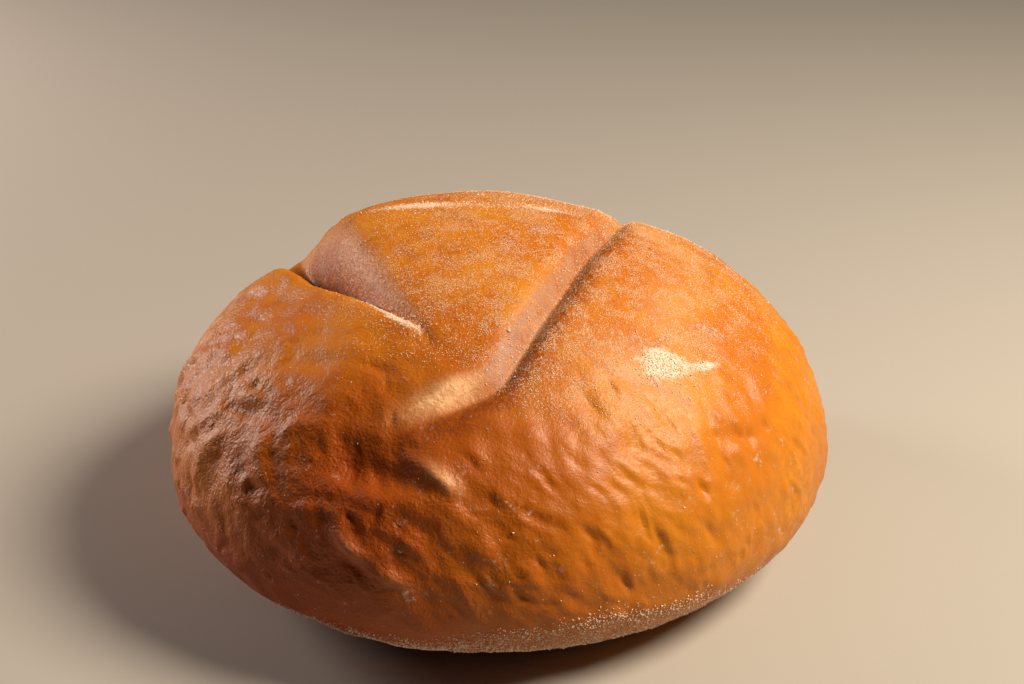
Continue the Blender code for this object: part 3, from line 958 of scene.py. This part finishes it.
def grains(name, crust, density, count, size, material, rng):
    """Octahedra of random turn and proportion, strewn over the crust's triangles.

    A triangle is drawn with a chance in proportion to its area times density, and a grain stands on
    it at a random place: corner + a (second - corner) + b (third - corner), with a + b <= 1.
    """
    mesh = crust.data
    points = np.empty(len(mesh.vertices) * 3, np.float32)
    mesh.vertices.foreach_get("co", points)
    points = points.reshape(-1, 3).astype(float)
    mesh.calc_loop_triangles()
    index = np.empty(len(mesh.loop_triangles) * 3, np.int32)
    mesh.loop_triangles.foreach_get("vertices", index)
    index = index.reshape(-1, 3)
    corner, second, third = points[index[:, 0]], points[index[:, 1]], points[index[:, 2]]
    out = np.cross(second - corner, third - corner)
    area = np.linalg.norm(out, axis=1)
    chance = area * density[index].mean(axis=1)
    chance[corner[:, 2] < GRAIN_LOWEST] = 0
    drawn = rng.choice(len(index), size=count, p=chance / chance.sum())
    a, b = rng.uniform(0, 1, (2, count, 1))
    over = a + b > 1
    a, b = np.where(over, 1 - a, a), np.where(over, 1 - b, b)
    place = corner[drawn] + a * (second - corner)[drawn] + b * (third - corner)[drawn]
    out = (out / area[:, None])[drawn]

    width = size * np.exp(rng.normal(0, GRAIN_SPREAD, (count, 1)))
    half = 0.5 * width * np.stack([rng.uniform(*limits, count) for limits in GRAIN_AXES], axis=1)
    tips = random_turns(count, rng) * half[:, None, :]
    centre = place + out * GRAIN_STANDS * width
    corners = np.concatenate([centre[:, :, None] + tips, centre[:, :, None] - tips], axis=2)
    corners = corners.transpose(0, 2, 1).reshape(-1, 3)
    faces = (np.array(OCTAHEDRON) + 6 * np.arange(count)[:, None, None]).reshape(-1, 3)
    return mesh_object(name, corners, np.zeros((0, 4), int), faces, material)


def read_mask(mesh, name):
    """The mask of that name at each of the mesh's points."""
    values = np.empty(len(mesh.vertices), np.float32)
    mesh.attributes[name].data.foreach_get("value", values)
    return values.astype(float)


def grain_density(mesh, bare, on_dusted, on_flour, on_patch, on_rim, rim_power):
    """How thickly grains lie on the crust: its masks, each times its share, and none on the film, which
    is partly flour and partly painted highlight.
    """
    flour, patch, film, dusted, rim, front = (
        read_mask(mesh, name) for name in ("flour", "patch", "film", "dusted", "rim", "front")
    )
    on_crust = bare + on_dusted * dusted + on_flour * flour + on_patch * patch
    return (on_crust + on_rim * front * rim**rim_power) * (1 - film)


class BOULE_OT_crust(bpy.types.Operator):
    """Make the wrinkled crust in place of the plain solid"""

    bl_idname = "boule.crust"
    bl_label = "Crust"

    def execute(self, context):
        points, masks = crust_shape(context.scene.boule_form)
        quads, fans = grid_faces()
        material = crust_material(context.scene.boule_finish)
        crust = mesh_object("crust", with_poles(points), quads, fans, material)
        crust.data.shade_smooth()
        for name, mask in masks.items():
            values = np.r_[mask[0].mean(), mask.ravel(), mask[-1].mean()]
            layer = crust.data.attributes.new(name, "FLOAT", "POINT")
            layer.data.foreach_set("value", values.astype(np.float32))
        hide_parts("loaf")
        return {"FINISHED"}


class BOULE_OT_dusting(bpy.types.Operator):
    """Strew semolina and flour over the crust"""

    bl_idname = "boule.dusting"
    bl_label = "Dusting"

    def execute(self, context):
        rng = np.random.default_rng(SEED + 1)
        dusting = context.scene.boule_dusting
        crust = bpy.data.objects["crust"]
        finish = context.scene.boule_finish
        semolina = grain_material("semolina", finish.semolina, finish.flour)
        coarse = grain_density(crust.data, *COARSE_DENSITY)
        grains("semolina", crust, coarse, dusting.coarse, dusting.coarse_size, semolina, rng)
        specks = grain_material("flour_specks", finish.flour, finish.speck)
        fine = grain_density(crust.data, *FINE_DENSITY)
        grains("flour_specks", crust, fine, dusting.fine, dusting.fine_size, specks, rng)
        return {"FINISHED"}


def area_light(name, place, power, colour):
    """A round light of LIGHT_SIZE, aimed at LIGHT_AIM."""
    light = bpy.data.lights.new(name, "AREA")
    light.shape = "DISK"
    light.size = LIGHT_SIZE
    light.energy = power
    light.color = colour
    made = bpy.data.objects.new(name, light)
    made.location = place
    made.rotation_euler = (Vector(LIGHT_AIM) - Vector(place)).to_track_quat("-Z", "Y").to_euler()
    bpy.context.scene.collection.objects.link(made)


def swing(first, second, angle):
    """Two directions at right angles, turned in their plane: first towards second by the angle."""
    c, s = math.cos(angle), math.sin(angle)
    return first * c + second * s, second * c - first * s


def camera():
    """A camera CAMERA_DISTANCE from the loaf's middle, turned so that the middle lands on AIM_PIXEL."""
    tilt = math.radians(CAMERA_ELEVATION)
    aim = Vector((0, 0, AIM_HEIGHT))
    place = aim + CAMERA_DISTANCE * Vector((0, -math.cos(tilt), math.sin(tilt)))
    ahead = (aim - place).normalized()
    right = Vector((1, 0, 0))
    up = right.cross(ahead)
    pixels = LENS / SENSOR * IMAGE_WIDTH
    pitch = math.atan((AIM_PIXEL[1] - IMAGE_HEIGHT / 2) / pixels)
    yaw = math.atan((AIM_PIXEL[0] - IMAGE_WIDTH / 2) / pixels)
    ahead, up = swing(ahead, up, pitch)
    ahead, right = swing(ahead, right, -yaw)
    lens = bpy.data.cameras.new("camera")
    lens.lens = LENS
    lens.sensor_width = SENSOR
    made = bpy.data.objects.new("camera", lens)
    made.matrix_world = Matrix((
        (right.x, up.x, -ahead.x, place.x),
        (right.y, up.y, -ahead.y, place.y),
        (right.z, up.z, -ahead.z, place.z),
        (0, 0, 0, 1),
    ))
    bpy.context.scene.collection.objects.link(made)
    bpy.context.scene.camera = made


class BOULE_OT_stage(bpy.types.Operator):
    """Make the floor, the lights and the camera"""

    bl_idname = "boule.stage"
    bl_label = "Stage"

    def execute(self, context):
        stage = context.scene.boule_stage
        floor_mesh = bpy.data.meshes.new("floor")
        corners = [(FLOOR_HALF * x, FLOOR_HALF * y, 0) for x, y in ((-1, -1), (1, -1), (1, 1), (-1, 1))]
        floor_mesh.from_pydata(corners, [], [(0, 1, 2, 3)])
        material = bpy.data.materials.new("floor")
        material.use_nodes = True
        shader = material.node_tree.nodes["Principled BSDF"]
        shader.inputs["Base Color"].default_value = opaque(stage.floor)
        shader.inputs["Roughness"].default_value = FLOOR_ROUGHNESS
        floor_mesh.materials.append(material)
        floor = bpy.data.objects.new("floor", floor_mesh)
        context.scene.collection.objects.link(floor)

        area_light("key", KEY_PLACE, stage.key, KEY_COLOUR)
        area_light("fill", FILL_PLACE, stage.fill, FILL_COLOUR)
        world = bpy.data.worlds.new("studio")
        world.use_nodes = True
        background = world.node_tree.nodes["Background"]
        background.inputs["Color"].default_value = opaque(WORLD_COLOUR)
        background.inputs["Strength"].default_value = WORLD_STRENGTH
        context.scene.world = world
        context.scene.view_settings.view_transform = "Standard"
        camera()
        return {"FINISHED"}


class BOULE_PT_panel(bpy.types.Panel):
    """The sizes, finishes and makers of the loaf"""

    bl_idname = "BOULE_PT_panel"
    bl_label = "Boule"
    bl_space_type = "VIEW_3D"
    bl_region_type = "UI"
    bl_category = "Boule"

    def draw(self, context):
        for settings, operator in (
            (context.scene.boule_form, BOULE_OT_crust),
            (context.scene.boule_finish, None),
            (context.scene.boule_dusting, BOULE_OT_dusting),
            (context.scene.boule_stage, BOULE_OT_stage),
        ):
            box = self.layout.box()
            for name in type(settings).__annotations__:
                box.prop(settings, name)
            if operator:
                box.operator(operator.bl_idname)


SETTINGS = {
    "boule_form": BouleForm,
    "boule_finish": BouleFinish,
    "boule_dusting": BouleDusting,
    "boule_stage": BouleStage,
}
CLASSES = (*SETTINGS.values(), BOULE_OT_crust, BOULE_OT_dusting, BOULE_OT_stage, BOULE_PT_panel)


def register():
    """Registers the classes and adds the settings to every scene."""
    for made in CLASSES:
        bpy.utils.register_class(made)
    for name, settings in SETTINGS.items():
        setattr(bpy.types.Scene, name, PointerProperty(type=settings))


def unregister():
    """Takes the settings and the classes out again."""
    for name in SETTINGS:
        delattr(bpy.types.Scene, name)
    for made in reversed(CLASSES):
        bpy.utils.unregister_class(made)


def main():
    """Makes the stage and the loaf."""
    register()
    bpy.ops.boule.stage()
    bpy.ops.boule.crust()
    bpy.ops.boule.dusting()


if __name__ == "__main__":
    main()
